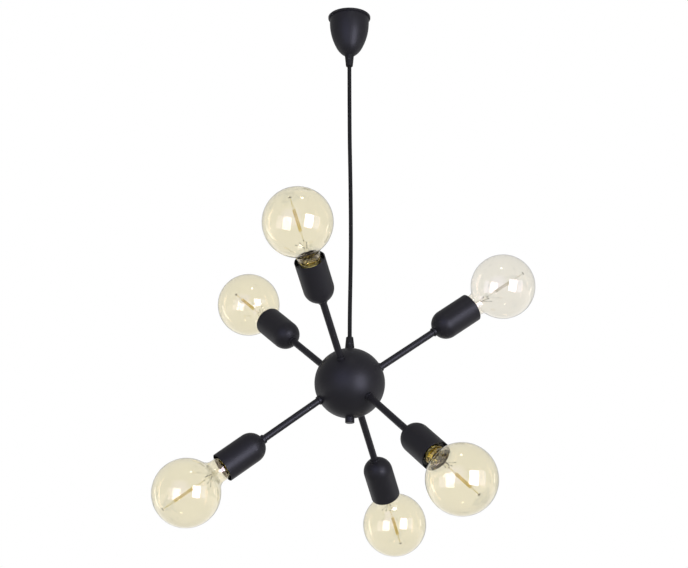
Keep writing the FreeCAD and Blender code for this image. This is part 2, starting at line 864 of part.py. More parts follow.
def bulb_filament():
    """Glass stem whose rod carries strands between two small plates and ends in a crossed anchor."""
    flare = bulb_tube - bulb_wall - seat_gap
    low = cap_top - bulb_tube_depth
    waist = low + stem_flare_height + stem_waist
    top = low + stem_length
    bend = (stem_radius + (flare - stem_radius) * stem_bend_shares[0],
            low + stem_flare_height + stem_waist * stem_bend_shares[1])
    filament_end = filament_start + filament_length
    anchor_place = filament_end + anchor_height
    stem = turned([
        (0, low), (flare, low), (flare, low + stem_flare_height), (bend, (stem_radius, waist)),
        (stem_radius, top - stem_taper), (stem_tip_radius, top),
        (rod_radius, top), (rod_radius, anchor_place), (0, anchor_place)])
    pieces = []
    for across in (Vector(1, 0, 0), Vector(0, 1, 0)):
        start = Vector(0, 0, anchor_place) - across * anchor_reach
        pieces.append(pipe_bar(anchor_radius, start, across, 2 * anchor_reach))
    for place in (filament_start, filament_end - spider_thickness):
        pieces.append(rod(spider_radius, place, place + spider_thickness))
    for strand in range(strand_count):
        angle = math.radians(full_turn / strand_count * strand)
        x = filament_ring * math.cos(angle)
        y = filament_ring * math.sin(angle)
        pieces.append(rod(strand_radius, filament_start, filament_end, x=x, y=y))
    return stem.fuse(pieces).removeSplitter()


os.makedirs("parts", exist_ok=True)
save("ceiling_bracket", [ceiling_bracket()])
save("cord_clamp", [cord_clamp()])
save("clamp_bar", [clamp_bar()])
save("clamp_screws", clamp_screws())
save("terminal_block", [terminal_block()])
save("core_leads", core_leads())
save("cord", [cord()])
save("ceiling_cup", [ceiling_cup()])
save("cup_grip", [cup_grip()])
save("cup_grip_nut", [cup_grip_nut()])
save("cup_grip_screw", [hung_from_cup(grip_screw())])
save("ball_grip", [ball_grip()])
save("ball_grip_screw", [ball_grip_screw()])
save("ball_upper_shell", [ball_upper_shell()])
save("ball_lower_shell", [ball_lower_shell()])
save("centre_tube", [centre_tube()])
save("tube_nuts", tube_nuts())
save("bottom_cap_nut", [bottom_cap_nut()])
save("terminal_ring", [terminal_ring()])
save("ball_leads", ball_leads())
save("arm_collars", arm_collars())
save("arm_nuts", arm_nuts())
save("arm_wires", arm_wires())
save("socket_contacts", socket_contacts())
for number in range(lamp_count):
    label = str(number + 1)
    save("arm_" + label, [on_arm(arm_tube(), number)])
    save("lamp_cup_" + label, [on_arm(lamp_cup(), number)])
    save("lampholder_" + label, [on_arm(lampholder(), number)])
    save("bulb_glass_" + label, [on_arm(bulb_glass(), number)])
    save("bulb_cap_" + label, [on_arm(bulb_cap(), number)])
    save("bulb_filament_" + label, [on_arm(bulb_filament(), number)])
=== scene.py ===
import json
import math

import bmesh
import bpy
from bpy.props import FloatProperty, FloatVectorProperty, IntProperty, PointerProperty
from mathutils import Matrix, Vector


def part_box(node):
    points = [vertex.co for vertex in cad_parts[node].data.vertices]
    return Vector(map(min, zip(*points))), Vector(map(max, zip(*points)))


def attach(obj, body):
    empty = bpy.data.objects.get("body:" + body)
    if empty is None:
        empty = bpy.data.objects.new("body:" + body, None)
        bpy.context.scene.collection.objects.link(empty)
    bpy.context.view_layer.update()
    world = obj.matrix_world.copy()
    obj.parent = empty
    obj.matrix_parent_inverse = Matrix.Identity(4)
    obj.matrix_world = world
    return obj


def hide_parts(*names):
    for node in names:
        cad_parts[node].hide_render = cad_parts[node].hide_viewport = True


bl_info = {
    "name": "Six Globe Hanging Lamp",
    "version": (1, 0, 0),
    "blender": (4, 5, 0),
    "location": "View3D > Sidebar > Lamp",
    "description": "Bulbs, cord, finishes and studio for a hanging lamp with six round bulbs",
    "category": "Object",
}

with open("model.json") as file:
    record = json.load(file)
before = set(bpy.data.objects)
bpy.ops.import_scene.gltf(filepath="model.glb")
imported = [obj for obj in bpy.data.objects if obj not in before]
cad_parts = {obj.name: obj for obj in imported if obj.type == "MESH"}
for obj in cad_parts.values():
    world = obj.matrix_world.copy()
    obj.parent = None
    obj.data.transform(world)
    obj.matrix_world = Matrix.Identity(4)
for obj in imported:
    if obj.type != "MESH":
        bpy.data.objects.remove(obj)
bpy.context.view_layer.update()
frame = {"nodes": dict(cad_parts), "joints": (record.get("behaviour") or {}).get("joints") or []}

LAMPS = range(1, 7)

# Places along an arm, in metres from where its axis crosses the upright axis
ARM_MIDDLE = 0.105
CAP_FOOT = 0.1935
CAP_TOP = 0.2205
GLASS_FOOT = 0.213
SHOULDER_FOOT = 0.2209
NECK_FOOT = 0.2247
FILLET_MIDDLE = 0.23054

# Bulb glass and cap
NECK_TUBE_RADIUS = 0.0126
SHOULDER_RADIUS = 0.0038
FILLET_RADIUS = 0.014
CAP_RADIUS = 0.0131
CAP_INSIDE = 0.01265
CAP_EDGE = 0.0014
CAP_FLOOR = 0.0095
CAP_BEAD = 0.0136
CAP_BEAD_HEIGHT = 0.0022
CAP_BEAD_ROLL = 0.0007
CAP_BEAD_RISE = 0.0005
CAP_LIP = 0.0002
THREAD_FOOT = 0.0072
THREAD_PITCH = 0.00362
THREAD_DEPTH = 0.0011
THREAD_EASE = 0.0015
THREAD_ROWS = 44
INSULATOR_FOOT = 0.0018
INSULATOR_TOP = 0.0064
INSULATOR_RADIUS = 0.0112
CONTACT_RADIUS = 0.0046
CONTACT_EDGE = 0.0006

# How far each bulb is screwed round its arm, in degrees
SCREW_TURNS = (35.0, 160.0, 250.0, 80.0, 12.0, 205.0)

# Outside and inside of the glass stem, each point a radius and a place along the arm
STEM_OUTSIDE = (
    (0.0117, 0.213), (0.0117, 0.2144), (0.0058, 0.2179), (0.0042, 0.2212), (0.0032, 0.2254),
    (0.0032, 0.240), (0.0032, 0.248), (0.0028, 0.2515), (0.0018, 0.2534), (0.0, 0.254))
STEM_INSIDE = (
    (0.0, 0.2385), (0.0016, 0.2375), (0.0024, 0.2345), (0.0024, 0.2254), (0.0034, 0.2212),
    (0.0050, 0.2179), (0.0109, 0.2136), (0.0109, 0.213))
STEM_TOP = 0.254

# Where the stem is pressed flat, and how much wider and thinner that makes it
PRESS_FOOT = 0.240
PRESS_EASE = 0.005
PRESS_WIDER = 0.35
PRESS_THINNER = 0.45

# Wires in the bulb
BEAD_RADIUS = 0.0007
ROD_RADIUS = 0.00025
COIL_STEPS = 10
LOW_TIE_RADIUS = 0.00006
HIGH_TIE_RADIUS = 0.00008
ANCHOR_PLACE = 0.323
ANCHOR_REACH = 0.0024
ANCHOR_RADIUS = 0.0003
ANCHOR_TURNS = (0.0, 60.0, 120.0)

# Support wires: angle about the stem in degrees, reach from its axis and rise along it
HOOKS = (
    (285.0, 0.0117, 0.0105),
    (268.0, 0.0059, 0.0105),
    (110.0, 0.0030, 0.0085),
    (40.0, 0.0050, 0.0070),
)
HOOK_SHARES = (0.0, 0.15, 0.35, 0.6, 0.85, 1.0)
HOOK_FOOT = 0.241
HOOK_ROOT = 0.0012
HOOK_LEAN = 1.3
HOOK_RADIUS = 0.00022
HOOK_TIP = 0.0009
HOOK_TIP_RADIUS = 0.0005

# Numbers of the finishes in a filament piece, and in a cap beside its brass
STEM_GLASS, STRAND, DARK_WIRE = 0, 1, 2
BLACK_GLASS, SOLDER = 1, 2

# The cord's route from the clamp down into the ball
CORD_ROUTE = (
    (0.0, 0.0, -0.0397),
    (0.0, 0.0, -0.185),
    (0.0011, 0.0003, -0.250),
    (0.0018, 0.0004, -0.312),
    (0.0019, 0.0001, -0.370),
    (0.0012, -0.0003, -0.425),
    (0.0, 0.0, -0.480),
    (0.0, 0.0, -0.5397),
)

# Studio: what the lights are turned to, a glint's twin as a share of its distance, the floor from its
# middle outwards and how white it looks, and the camera
LIGHT_TARGET = (0.0, 0.0, -0.5)
TWIN_DISTANCE = 1.01
FLOOR_HALF = 30.0
FLOOR_PLAIN = 4.5
FLOOR_WHITE = 9.0
FLOOR_SEEN = 0.6
CAMERA_LENS = 85.38
CAMERA_SENSOR = 36.0
CAMERA_REACH = 100.0
CAMERA_PLACE = (0.0, -2.243, -1.1362)
CAMERA_TILT = 17.51
CAMERA_TURN = 0.207

# Mesh work
MERGE_DISTANCE = 1e-7
SHARP_ANGLE = 40.0


class CoatSettings(bpy.types.PropertyGroup):
    """Powder coat of the metal parts and the black plastic beside it."""
    colour: FloatVectorProperty(
        name="Coat", description="Colour of the powder coat", subtype="COLOR", size=3, min=0.0, max=1.0,
        default=(0.0150, 0.0142, 0.0190))
    roughness: FloatProperty(
        name="Coat roughness", description="How dull the powder coat is", subtype="FACTOR",
        min=0.0, max=1.0, default=0.40)
    plastic: FloatVectorProperty(
        name="Plastic", description="Colour of the moulded black parts", subtype="COLOR", size=3,
        min=0.0, max=1.0, default=(0.012, 0.0118, 0.0135))
    grain: FloatProperty(
        name="Coat grain", description="Size of the bumps in the powder coat", unit="LENGTH",
        subtype="DISTANCE", min=0.0002, max=0.01, default=0.0011)


class CordSettings(bpy.types.PropertyGroup):
    """Supply cord."""
    diameter: FloatProperty(
        name="Cord diameter", description="Outer diameter of the cord", unit="LENGTH", subtype="DISTANCE",
        min=0.003, max=0.009, default=0.006)
    colour: FloatVectorProperty(
        name="Cord", description="Colour of the cord's jacket", subtype="COLOR", size=3, min=0.0, max=1.0,
        default=(0.014, 0.014, 0.015))


class GlassSettings(bpy.types.PropertyGroup):
    """Round bulb glass."""
    radius: FloatProperty(
        name="Globe radius", description="Radius of the round glass", unit="LENGTH", subtype="DISTANCE",
        min=0.04, max=0.0475, default=0.04748)
    middle: FloatProperty(
        name="Globe place", description="From the arm's origin to the middle of the globe", unit="LENGTH",
        subtype="DISTANCE", min=0.27, max=0.29, default=0.284)
    neck: FloatProperty(
        name="Neck radius", description="Radius of the glass neck", unit="LENGTH", subtype="DISTANCE",
        min=0.013, max=0.018, default=0.0164)
    wall: FloatProperty(
        name="Glass wall", description="Thickness of the glass", unit="LENGTH", subtype="DISTANCE",
        min=0.0004, max=0.0015, default=0.0005)
    tint: FloatVectorProperty(
        name="Amber tint", description="What one wall of the amber glass lets through", subtype="COLOR",
        size=3, min=0.0, max=1.0, default=(0.908, 0.868, 0.742))
    pale_tint: FloatVectorProperty(
        name="Pale tint", description="The same for the palest bulb", subtype="COLOR",
        size=3, min=0.0, max=1.0, default=(0.914, 0.89, 0.835))
    pale_bulb: IntProperty(
        name="Palest bulb", description="Number of the bulb with the palest glass", min=0, max=6,
        default=1)


class FilamentSettings(bpy.types.PropertyGroup):
    """Filament and its wires."""
    start: FloatProperty(
        name="Filament start", description="From the arm's origin to the filament", unit="LENGTH",
        subtype="DISTANCE", min=0.256, max=0.28, default=0.2695)
    length: FloatProperty(
        name="Filament length", description="Length of the coiled strands", unit="LENGTH",
        subtype="DISTANCE", min=0.02, max=0.05, default=0.0345)
    strands: IntProperty(
        name="Strands", description="How many coiled strands stand round the rod", min=1, max=8,
        default=5)
    ring: FloatProperty(
        name="Strand ring", description="From the rod to the middle of a strand", unit="LENGTH",
        subtype="DISTANCE", min=0.0008, max=0.004, default=0.0017)
    coil: FloatProperty(
        name="Coil radius", description="Radius of a strand's coil", unit="LENGTH", subtype="DISTANCE",
        min=0.0002, max=0.001, default=0.0005)
    wire: FloatProperty(
        name="Strand wire", description="Radius of the coiled wire", unit="LENGTH", subtype="DISTANCE",
        min=0.00008, max=0.0004, default=0.00015)
    turns: IntProperty(
        name="Turns", description="Turns in each coiled strand", min=10, max=90, default=50)
    gold: FloatVectorProperty(
        name="Filament", description="Colour of the strands", subtype="COLOR", size=3, min=0.0, max=1.0,
        default=(1.0, 0.80, 0.09))
    pale_gold: FloatVectorProperty(
        name="Pale filament", description="The same in the palest bulb", subtype="COLOR", size=3,
        min=0.0, max=1.0, default=(0.84, 0.78, 0.62))
    dark: FloatVectorProperty(
        name="Wires", description="Colour of the support wires", subtype="COLOR", size=3, min=0.0, max=1.0,
        default=(0.13, 0.11, 0.09))


class StudioSettings(bpy.types.PropertyGroup):
    """Light, floor and camera."""
    ambient: FloatProperty(
        name="Soft light", description="Brightness of the room on dull surfaces, where 1 is white",
        min=0.0, max=1.0, default=0.5)
    gloss: FloatProperty(
        name="Room in gloss", description="Brightness of the room in gloss, where 1 is white",
        min=0.0, max=1.0, default=0.45)
    key: FloatProperty(
        name="Soft box", description="Brightness of the soft box on dull surfaces", min=0.0, max=20.0,
        default=2.6)
    glint: FloatProperty(
        name="Soft box in gloss", description="Brightness of the soft box in glass and gloss", min=0.0,
        max=40.0, default=10.0)
    window: FloatProperty(
        name="Window", description="Brightness of the dim window in glass and gloss", min=0.0, max=10.0,
        default=1.3)
    floor_drop: FloatProperty(
        name="Floor", description="From the ceiling down to the floor", unit="LENGTH", subtype="DISTANCE",
        min=1.0, max=5.0, default=3.6)


SETTINGS = {"lamp_coat": CoatSettings, "lamp_cord": CordSettings, "lamp_glass": GlassSettings,
            "lamp_filament": FilamentSettings, "lamp_studio": StudioSettings}


class Signal:
    """A socket's output. Sums, products and differences of numbers add their Math nodes."""

    def __init__(self, shader, socket):
        self.shader = shader
        self.socket = socket

    def math(self, operation, first, second):
        return self.shader.add("ShaderNodeMath", {"operation": operation}, {0: first, 1: second})

    def __add__(self, other):
        return self.math("ADD", self, other)

    def __radd__(self, other):
        return self.math("ADD", other, self)

    def __sub__(self, other):
        return self.math("SUBTRACT", self, other)

    def __rsub__(self, other):
        return self.math("SUBTRACT", other, self)

    def __mul__(self, other):
        return self.math("MULTIPLY", self, other)

    def __rmul__(self, other):
        return self.math("MULTIPLY", other, self)

    def most(self, other):
        """The larger of two numbers."""
        return self.math("MAXIMUM", self, other)

    def least(self, other):
        """The smaller of two numbers."""
        return self.math("MINIMUM", self, other)


class Shader:
    """Builds the nodes of one material, lamp or world."""

    def __init__(self, owner):
        owner.use_nodes = True
        self.tree = owner.node_tree
        self.tree.nodes.clear()

    def add(self, kind, settings=None, values=None, output=0):
        """A node with its settings made first, then its values or links, as one output's signal."""
        node = self.tree.nodes.new(kind)
        for key, value in (settings or {}).items():
            if key == "stops":
                self.set_stops(node.color_ramp, value)
            else:
                setattr(node, key, value)
        for key, value in (values or {}).items():
            if isinstance(value, Signal):
                self.tree.links.new(value.socket, node.inputs[key])
            else:
                node.inputs[key].default_value = value
        return Signal(self, node.outputs[output]) if node.outputs else None

    def set_stops(self, ramp, stops):
        while len(ramp.elements) < len(stops):
            ramp.elements.new(1.0)
        for element, (place, colour) in zip(ramp.elements, stops):
            element.position = place
            element.color = colour

    def place(self):
        """Object coordinates in metres."""
        return self.add("ShaderNodeTexCoord", output="Object")

    def ray(self, output):
        """One output of Light Path, such as Is Camera Ray."""
        return self.add("ShaderNodeLightPath", output=output)

    def noise(self, size, detail=3.0):
        """Soft noise whose features are about size metres across, from 0 to 1."""
        return self.add("ShaderNodeTexNoise", None, {
            "Vector": self.place(), "Scale": 1.0 / size, "Detail": detail})

    def blend(self, factor, first, second):
        """Colour between two colours."""
        return self.add("ShaderNodeMix", {"data_type": "RGBA"}, {0: factor, 6: first, 7: second},
                        output=2)

    def band(self, signal, low, high):
        """Signal stretched from low..high to 0..1 and held there."""
        return self.add("ShaderNodeMapRange", None, {0: signal, 1: low, 2: high})

    def bump(self, height, strength, distance):
        """Normal of a surface that rises by up to distance metres where height is 1."""
        return self.add("ShaderNodeBump", None, {
            "Strength": strength, "Distance": distance, "Height": height})

    def surface(self, values):
        """A Principled shader joined to the material's output."""
        shader = self.add("ShaderNodeBsdfPrincipled", None, values)
        self.add("ShaderNodeOutputMaterial", None, {"Surface": shader})


def new_material(name):
    material = bpy.data.materials.new(name)
    return material, Shader(material)


def rgba(colour, level=1.0):
    """A colour for a socket, darker or lighter by a level, and at most white."""
    return tuple(min(1.0, part * level) for part in colour) + (1.0,)


# Finishes

def powder_coat(settings):
    """Black powder coat: fine orange peel, faint cloudiness and a little dust."""
    material, shader = new_material("powder_coat")
    fine = shader.noise(settings.grain, detail=2.0)
    cloud = shader.noise(0.018, detail=4.0)
    colour = shader.blend(cloud, rgba(settings.colour, 0.88), rgba(settings.colour, 1.12))
    speck = shader.band(shader.noise(0.0007, detail=0.0), 0.74, 0.80)
    colour = shader.blend(speck * 0.35, colour, rgba(settings.colour, 2.2))
    shader.surface({
        "Base Color": colour,
        "Roughness": settings.roughness - 0.05 + cloud * 0.1 + fine * 0.04,
        "Specular IOR Level": 0.2,
        "Normal": shader.bump(fine, 0.05, 0.0002),
    })
    return material


def moulded_plastic(name, colour, roughness, gloss, grain):
    """Moulded plastic with a fine skin and faint flow marks."""
    material, shader = new_material(name)
    skin = shader.noise(grain, detail=2.0)
    flow = shader.noise(0.012)
    shader.surface({
        "Base Color": shader.blend(flow, rgba(colour, 0.9), rgba(colour, 1.1)),
        "Roughness": roughness + flow * 0.08,
        "Specular IOR Level": gloss,
        "Normal": shader.bump(skin, 0.12, 0.0001),
    })
    return material


def cord_jacket(settings):
    """Soft black jacket with faint drawing lines along it and a dusty bloom."""
    material, shader = new_material("cord_jacket")
    stretched = shader.add("ShaderNodeMapping", None, {
        "Vector": shader.place(), "Scale": (1.0, 1.0, 0.04)})
    lines = shader.add("ShaderNodeTexNoise", None, {
        "Vector": stretched, "Scale": 1600.0, "Detail": 2.0})
    bloom = shader.noise(0.03, detail=4.0)
    shader.surface({
        "Base Color": shader.blend(bloom, rgba(settings.colour, 0.85), rgba(settings.colour, 1.2)),
        "Roughness": 0.58 + bloom * 0.12,
        "Specular IOR Level": 0.08,
        "Normal": shader.bump(lines, 0.15, 0.0001),
    })
    return material


def plated_steel():
    """Zinc plate: bright, slightly clouded, with fine scratches."""
    material, shader = new_material("zinc_plate")
    cloud = shader.noise(0.006, detail=5.0)
    scratch = shader.noise(0.0004, detail=2.0)
    shader.surface({
        "Base Color": shader.blend(cloud, rgba((0.52, 0.52, 0.51)), rgba((0.68, 0.68, 0.65))),
        "Metallic": 1.0,
        "Roughness": 0.24 + cloud * 0.16,
        "Normal": shader.bump(scratch, 0.08, 0.0001),
    })
    return material


def blackened_steel():
    """Black oxide of the set screws in the cord grips."""
    material, shader = new_material("black_oxide")
    cloud = shader.noise(0.002)
    shader.surface({
        "Base Color": shader.blend(cloud, rgba((0.030, 0.030, 0.034)), rgba((0.050, 0.050, 0.055))),
        "Metallic": 0.6,
        "Roughness": 0.38 + cloud * 0.1,
    })
    return material


def drawn_brass():
    """Thin drawn brass, a little dulled in patches."""
    material, shader = new_material("drawn_brass")
    dull = shader.band(shader.noise(0.005, detail=5.0), 0.38, 0.68)
    fine = shader.noise(0.0005, detail=2.0)
    shader.surface({
        "Base Color": shader.blend(dull, rgba((0.84, 0.72, 0.26)), rgba((0.60, 0.50, 0.14))),
        "Metallic": 1.0,
        "Roughness": 0.22 + dull * 0.2,
        "Normal": shader.bump(fine, 0.06, 0.0001),
    })
    return material


def lead_insulation():
    """Brown, green and blue insulation, told apart by where the leads lie."""
    material, shader = new_material("lead_insulation")
    brown, green, blue = rgba((0.14, 0.055, 0.025)), rgba((0.10, 0.24, 0.04)), rgba((0.02, 0.09, 0.28))
    across = shader.add("ShaderNodeSeparateXYZ", None, {"Vector": shader.place()}, output="X")
    colours = shader.add("ShaderNodeValToRGB", {"stops": (
        (0.0, brown), (0.3, brown), (0.34, green), (0.66, green), (0.70, blue),
    )}, {"Fac": shader.band(across, -0.001, 0.001)})
    shade = shader.noise(0.004)
    shader.surface({
        "Base Color": shader.blend(shade * 0.25, colours, rgba((0.02, 0.02, 0.02))),
        "Roughness": 0.35 + shade * 0.12,
    })
    return material


def bulb_glass_finish(name, tint):
    """Amber washed glass with slow waves and a faint oily sheen of colour."""
    material, shader = new_material(name)
    wave = shader.noise(0.02, detail=2.0)
    wash = shader.noise(0.05)
    shader.surface({
        "Base Color": shader.blend(wash, rgba(tint, 0.97), rgba(tint, 1.03)),
        "Roughness": 0.0,
        "IOR": 1.5,
        "Transmission Weight": 1.0,
        "Thin Film Thickness": 160.0,
        "Thin Film IOR": 1.6,
        "Normal": shader.bump(wave, 0.07, 0.0008),
    })
    return material


def stem_glass_finish():
    """Clear glass of the stem, a little smoky in patches."""
    material, shader = new_material("stem_glass")
    smoke = shader.noise(0.004)
    shader.surface({
        "Base Color": shader.blend(smoke, rgba((0.98, 0.97, 0.94)), rgba((0.93, 0.91, 0.85))),
        "Roughness": 0.02,
        "IOR": 1.06,
        "Transmission Weight": 1.0,
        "Normal": shader.bump(smoke, 0.15, 0.0004),
    })
    return material


def filament_finish(name, colour):
    """Coated strands, a little uneven in tone."""
    material, shader = new_material(name)
    tone = shader.noise(0.003)
    shader.surface({
        "Base Color": shader.blend(tone, rgba(colour, 0.85), rgba(colour, 1.0)),
        "Roughness": 0.48 + tone * 0.1,
    })
    return material


def wire_finish(settings):
    """Dark oxidised support wire."""
    material, shader = new_material("support_wire")
    tone = shader.noise(0.002)
    shader.surface({
        "Base Color": shader.blend(tone, rgba(settings.dark, 0.7), rgba(settings.dark, 1.3)),
        "Metallic": 0.6,
        "Roughness": 0.4 + tone * 0.1,
    })
    return material


def insulator_finish():
    """Black glass between the cap's shell and its contact."""
    material, shader = new_material("cap_insulator")
    tone = shader.noise(0.003, detail=2.0)
    shader.surface({
        "Base Color": shader.blend(tone, rgba((0.006, 0.006, 0.008)), rgba((0.012, 0.012, 0.016))),
        "Roughness": 0.08 + tone * 0.08,
    })
    return material


def solder_finish():
    """Grey solder on the cap's contact."""
    material, shader = new_material("cap_solder")
    tone = shader.noise(0.002, detail=4.0)
    shader.surface({
        "Base Color": shader.blend(tone, rgba((0.40, 0.40, 0.40)), rgba((0.58, 0.58, 0.57))),
        "Metallic": 1.0,
        "Roughness": 0.35 + tone * 0.15,
        "Normal": shader.bump(tone, 0.3, 0.0003),
    })
    return material


# Mesh work

def dress(finish, names):
    """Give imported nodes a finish."""
    for name in names:
        slots = frame["nodes"][name].material_slots
        if not slots:
            raise RuntimeError(name + " has no material slot")
        for slot in slots:
            slot.material = finish


def arc(centre, radius, first, last, steps):
    """Points of an arc, each a radius and a height, with its angles in degrees."""
    points = []
    for step in range(steps + 1):
        angle = math.radians(first + (last - first) * step / steps)
        points.append((centre[0] + radius * math.cos(angle), centre[1] + radius * math.sin(angle)))
    return points


def spin_outline(mesh, outline, steps, closed=False):
    """Turn an outline of radii and heights once round Z."""
    corners = [mesh.verts.new((radius, 0.0, height)) for radius, height in outline]
    pairs = list(zip(corners, corners[1:]))
    if closed:
        pairs.append((corners[-1], corners[0]))
    edges = [mesh.edges.new(pair) for pair in pairs]
    bmesh.ops.spin(mesh, geom=corners + edges, cent=(0.0, 0.0, 0.0), axis=(0.0, 0.0, 1.0),
                   angle=math.tau, steps=steps, use_merge=True)


def add_wire(mesh, route, radius, sides, finish):
    """A round wire along a route, closed at both ends, in the finish of that number."""
    heading = (route[1] - route[0]).normalized()
    seat = Matrix.Translation(route[0]) @ heading.to_track_quat("Z", "Y").to_matrix().to_4x4()
    ring = bmesh.ops.create_circle(mesh, cap_ends=True, radius=radius, segments=sides, matrix=seat)
    cap = list({face for vert in ring["verts"] for face in vert.link_faces})
    faces = set(cap)
    for number in range(1, len(route)):
        grown = bmesh.ops.extrude_face_region(mesh, geom=cap, use_keep_orig=number == 1)["geom"]
        verts = [item for item in grown if isinstance(item, bmesh.types.BMVert)]
        cap = [item for item in grown if isinstance(item, bmesh.types.BMFace)]
        bmesh.ops.translate(mesh, verts=verts, vec=route[number] - route[number - 1])
        after = (route[min(number + 1, len(route) - 1)] - route[number - 1]).normalized()
        bend = heading.rotation_difference(after).to_matrix()
        bmesh.ops.rotate(mesh, verts=verts, cent=route[number], matrix=bend)
        heading = after
        faces.update(face for vert in verts for face in vert.link_faces)
    for face in faces:
        if face.is_valid:
            face.material_index = finish


def tidy_shell(mesh):
    """Close seams and poles, then point the faces outwards."""
    bmesh.ops.remove_doubles(mesh, verts=mesh.verts, dist=MERGE_DISTANCE)
    bmesh.ops.recalc_face_normals(mesh, faces=mesh.faces)


def new_piece(name, mesh, finishes, body, replaced):
    """Make an object of a finished mesh, and seat it on its body."""
    data = bpy.data.meshes.new(name)
    mesh.to_mesh(data)
    mesh.free()
    for finish in finishes:
        data.materials.append(finish)
    data.shade_smooth()
    data.set_sharp_from_angle(angle=math.radians(SHARP_ANGLE))
    piece = bpy.data.objects.new(name, data)
    bpy.context.scene.collection.objects.link(piece)
    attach(piece, body)
    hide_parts(replaced)
    return piece


def joint_axis(name):
    """Unit vector along a joint's axis."""
    for joint in frame["joints"]:
        if joint["name"] == name:
            return Vector(joint["axis"]).normalized()
    raise RuntimeError("no joint " + name)


def arm_seat(number):
    """Matrix from a bulb's own upright frame to its place on arm number, screwed round as it is there."""
    axis = joint_axis("bulb_%d_out" % number)
    low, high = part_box("arm_%d" % number)
    origin = (low + high) / 2 - axis * ARM_MIDDLE
    across = Vector((0.0, 0.0, 1.0)).cross(axis).normalized()
    turn = Matrix((across.cross(axis), across, axis)).transposed().to_4x4()
    screwed = Matrix.Rotation(math.radians(SCREW_TURNS[number - 1]), 4, "Z")
    return Matrix.Translation(origin) @ turn @ screwed


def copies_on_arms(base, shape, finishes_of, replaced):
    """One copy of a shape on each arm, each riding on its own bulb's body. The shape itself is freed."""
    pieces = []
    for number in LAMPS:
        mesh = shape.copy()
        bmesh.ops.transform(mesh, matrix=arm_seat(number), verts=mesh.verts)
        pieces.append(new_piece("%s_%d" % (base, number), mesh, finishes_of(number),
                                "bulb_%d" % number, replaced % number))
    shape.free()
    return pieces


# Pieces

class DressCoat(bpy.types.Operator):
    """Powder coat on the ceiling cup, the ball, the arms and the lamp cups"""
    bl_idname = "lamp.dress_coat"
    bl_label = "Coat the metal"

    def execute(self, context):
        coat = powder_coat(context.scene.lamp_coat)
        dress(coat, ["ceiling_cup", "ball_upper_shell", "ball_lower_shell", "bottom_cap_nut",
                     "arm_collars"])
        for number in LAMPS:
            dress(coat, ["arm_%d" % number, "lamp_cup_%d" % number])
        return {"FINISHED"}


class DressFittings(bpy.types.Operator):
    """Grips, clamp, lampholders, nuts, screws, contacts and leads"""
    bl_idname = "lamp.dress_fittings"
    bl_label = "Finish the fittings"

    def execute(self, context):
        coat = context.scene.lamp_coat
        black = moulded_plastic("grip_nylon", tuple(coat.plastic), 0.46, 0.14, 0.0009)
        phenolic = moulded_plastic("holder_phenolic", (0.010, 0.009, 0.009), 0.22, 0.5, 0.002)
        nylon = moulded_plastic("terminal_nylon", (0.72, 0.71, 0.66), 0.42, 0.45, 0.001)
        dress(black, ["cord_clamp", "clamp_bar", "cup_grip", "cup_grip_nut", "ball_grip"])
        dress(phenolic, ["lampholder_%d" % number for number in LAMPS])
        dress(nylon, ["terminal_block", "terminal_ring"])
        dress(plated_steel(), ["ceiling_bracket", "clamp_screws", "centre_tube", "tube_nuts",
                               "arm_nuts"])
        dress(blackened_steel(), ["cup_grip_screw", "ball_grip_screw"])
        dress(drawn_brass(), ["socket_contacts"])
        dress(lead_insulation(), ["core_leads", "ball_leads", "arm_wires"])
        return {"FINISHED"}


class HangCord(bpy.types.Operator):
    """Cord from the clamp in the ceiling cup down into the ball"""
    bl_idname = "lamp.hang_cord"
    bl_label = "Hang the cord"

    def execute(self, context):
        settings = context.scene.lamp_cord
        curve = bpy.data.curves.new("supply_cord", "CURVE")
        curve.dimensions = "3D"
        line = curve.splines.new("NURBS")
        line.points.add(len(CORD_ROUTE) - 1)
        for point, place in zip(line.points, CORD_ROUTE):
            point.co = place + (1.0,)
        line.order_u = 3
        line.use_endpoint_u = True
        line.resolution_u = 16
        line.use_smooth = True
        curve.bevel_depth = settings.diameter / 2
        curve.bevel_resolution = 6
        curve.use_fill_caps = True
        curve.materials.append(cord_jacket(settings))
        cord = bpy.data.objects.new("supply_cord", curve)
        context.scene.collection.objects.link(cord)
        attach(cord, "cord_set")
        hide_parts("cord")
        return {"FINISHED"}


class BlowBulbs(bpy.types.Operator):
    """Round amber glass with its neck on each lamp"""
    bl_idname = "lamp.blow_bulbs"
    bl_label = "Blow the bulbs"

    def execute(self, context):
        settings = context.scene.lamp_glass
        reach = settings.neck + FILLET_RADIUS
        lean = math.degrees(math.atan2(settings.middle - FILLET_MIDDLE, reach))
        outline = [(NECK_TUBE_RADIUS, GLASS_FOOT),
                   (NECK_TUBE_RADIUS, (GLASS_FOOT + SHOULDER_FOOT) / 2)]
        outline += arc((NECK_TUBE_RADIUS, NECK_FOOT), SHOULDER_RADIUS, -90.0, 0.0, 6)
        outline += arc((reach, FILLET_MIDDLE), FILLET_RADIUS, 180.0, 180.0 - lean, 12)
        outline += arc((0.0, settings.middle), settings.radius, -lean, 90.0, 48)[1:]
        shape = bmesh.new()
        spin_outline(shape, outline, 96)
        tidy_shell(shape)
        amber = bulb_glass_finish("amber_glass", tuple(settings.tint))
        pale = bulb_glass_finish("pale_amber_glass", tuple(settings.pale_tint))
        globes = copies_on_arms(
            "globe", shape, lambda number: [pale if number == settings.pale_bulb else amber],
            "bulb_glass_%d")
        for globe in globes:
            wall = globe.modifiers.new("wall", "SOLIDIFY")
            wall.thickness = settings.wall
            wall.offset = -1.0
            wall.use_even_offset = True
        return {"FINISHED"}


